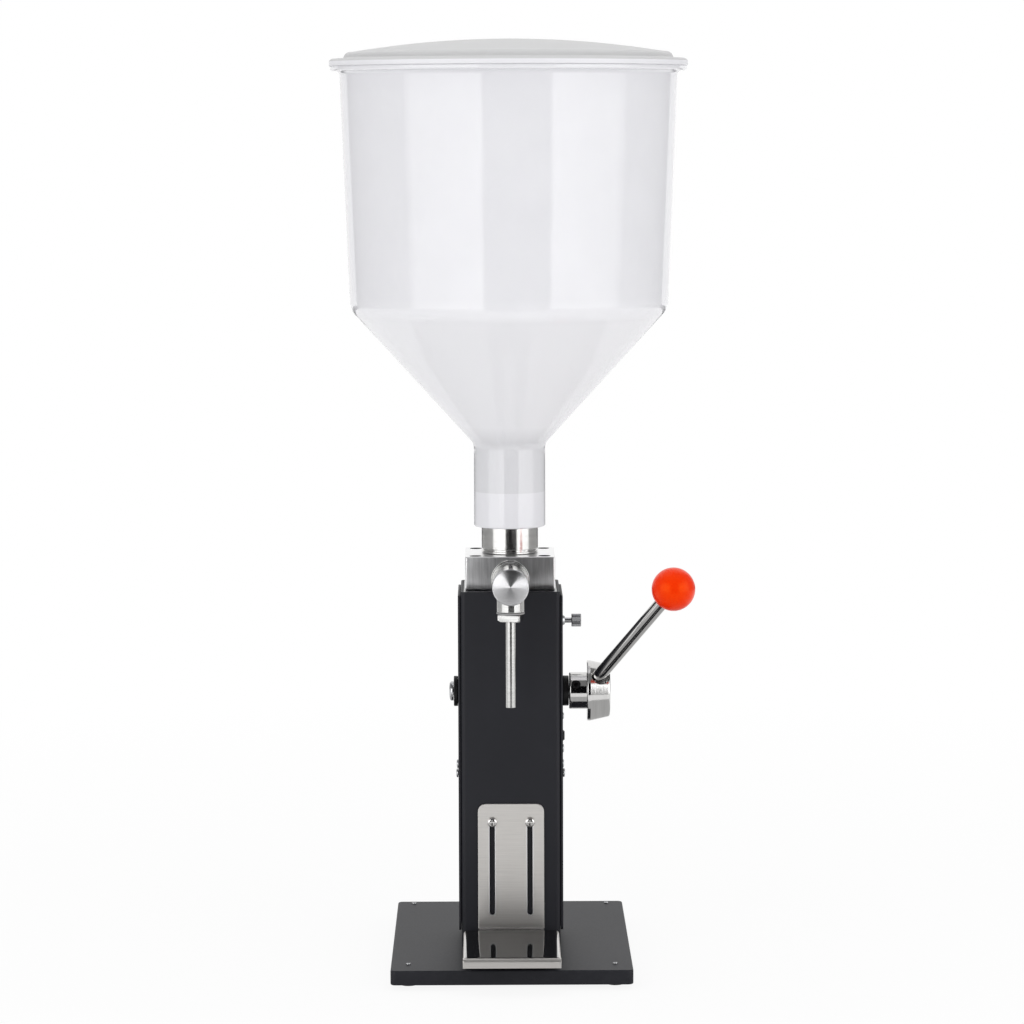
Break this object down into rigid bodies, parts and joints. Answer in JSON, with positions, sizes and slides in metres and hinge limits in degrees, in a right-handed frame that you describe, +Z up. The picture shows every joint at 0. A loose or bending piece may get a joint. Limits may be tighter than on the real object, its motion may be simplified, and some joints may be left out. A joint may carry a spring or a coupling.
{
  "type": "manual filling machine",
  "caption": "Bench-top manual liquid filler: a side lever drives a rack-and-pinion piston pump under a lidded hopper, with a front nozzle and a height-adjustable bottle tray.",
  "frame": {"origin": "on the table, below the middle of the machine's bounding box; the pump and hopper axis stands 6.3 mm behind it", "axes": "+Z up along the pump axis, -Y to the front (nozzle and bottle tray), +X to the machine's lever side"},
  "size_m": [0.2704, 0.283, 0.7016],
  "materials": {
    "black_powder_coat": "fine satin powder coat, black",
    "brushed_stainless": "turned and brushed stainless steel",
    "polished_stainless": "polished stainless steel",
    "spring_steel": "drawn stainless spring wire",
    "zinc_steel": "bright zinc plated steel",
    "black_nylon": "black nylon, slightly glossy",
    "black_rubber": "black rubber",
    "white_polymer": "white low-friction polymer",
    "milky_polypropylene": "translucent milky white plastic, semi-gloss",
    "orange_knob_plastic": "glossy orange-red plastic"
  },
  "bodies": {
    "frame": {"base_plate": "black_powder_coat", "housing_shell": "black_powder_coat", "side_plate_left": "black_powder_coat", "side_plate_right": "black_powder_coat", "pump_head": "brushed_stainless", "inlet_neck": "brushed_stainless", "discharge_tube": "brushed_stainless", "end_cap": "brushed_stainless", "barrel": "polished_stainless", "valve_cage": "polished_stainless", "nozzle_tube": "polished_stainless", "nozzle_adapter": "polished_stainless", "inlet_spring": "spring_steel", "outlet_spring": "spring_steel", "top_deck": "zinc_steel", "frame_spacer": "zinc_steel", "thumb_insert": "zinc_steel", "foot_screw_front_left": "zinc_steel", "foot_screw_front_right": "zinc_steel", "foot_screw_back_left": "zinc_steel", "foot_screw_back_right": "zinc_steel", "side_screw_left_front": "zinc_steel", "side_screw_left_back": "zinc_steel", "side_screw_right_front": "zinc_steel", "side_screw_right_back": "zinc_steel", "side_screw_right_upper": "zinc_steel", "side_screw_right_lower": "zinc_steel", "head_bolt_1": "zinc_steel", "head_bolt_2": "zinc_steel", "head_bolt_3": "zinc_steel", "head_bolt_4": "zinc_steel", "tray_screw_left": "zinc_steel", "tray_screw_right": "zinc_steel", "bush_left": "black_nylon", "bush_right": "black_nylon", "side_plug": "black_nylon", "foot_front_left": "black_rubber", "foot_front_right": "black_rubber", "foot_back_left": "black_rubber", "foot_back_right": "black_rubber", "rack_guide": "white_polymer", "barrel_gasket": "white_polymer", "spout_washer": "white_polymer"},
    "handle": {"drive_shaft": "polished_stainless", "shaft_end_screw": "zinc_steel", "pinion": "zinc_steel", "handle_hub": "brushed_stainless", "hub_set_screw": "black_nylon", "lever_rod": "polished_stainless", "ball_knob": "orange_knob_plastic"},
    "pump_piston": {"rack_rod": "polished_stainless", "piston": "white_polymer", "piston_seal": "black_rubber"},
    "inlet_poppet": {"inlet_valve": "polished_stainless"},
    "outlet_poppet": {"outlet_valve": "polished_stainless"},
    "tray": {"tray_bracket": "polished_stainless"},
    "hopper_vessel": {"hopper": "milky_polypropylene"},
    "hopper_lid": {"lid": "milky_polypropylene"},
    "barrel_lock": {"thumb_screw": "zinc_steel"}
  },
  "joints": [
    {"name": "handle_turn", "type": "hinge", "parent": "frame", "child": "handle", "pos_m": [0, -0.0157, 0.2085], "axis": [1, 0, 0], "range_deg": [0, 118.17]},
    {"name": "piston_slide", "type": "slide", "parent": "frame", "child": "pump_piston", "axis": [0, 0, 1], "range_m": [0, 0.0331]},
    {"name": "inlet_valve_lift", "type": "slide", "parent": "frame", "child": "inlet_poppet", "axis": [0, 0, -1], "range_m": [0, 0.004], "stiffness_N_per_m": 300, "springref_m": -0.003, "deforming": ["inlet_spring"]},
    {"name": "outlet_valve_lift", "type": "slide", "parent": "frame", "child": "outlet_poppet", "axis": [0, -1, 0], "range_m": [0, 0.005], "stiffness_N_per_m": 300, "springref_m": -0.003, "deforming": ["outlet_spring"]},
    {"name": "tray_slide", "type": "slide", "parent": "frame", "child": "tray", "axis": [0, 0, 1], "range_m": [0, 0.069]},
    {"name": "hopper_lift", "type": "slide", "parent": "frame", "child": "hopper_vessel", "axis": [0, 0, 1], "range_m": [0, 0.05]},
    {"name": "lid_lift", "type": "slide", "parent": "hopper_vessel", "child": "hopper_lid", "axis": [0, 0, 1], "range_m": [0, 0.06]},
    {"name": "thumb_turn", "type": "hinge", "parent": "frame", "child": "barrel_lock", "pos_m": [0, 0.0063, 0.2596], "axis": [1, 0, 0], "range_deg": [0, 720]}
  ],
  "couplings": [
    {"joint": "piston_slide", "follows": "handle_turn", "m_per_rad": 0.016}
  ]
}
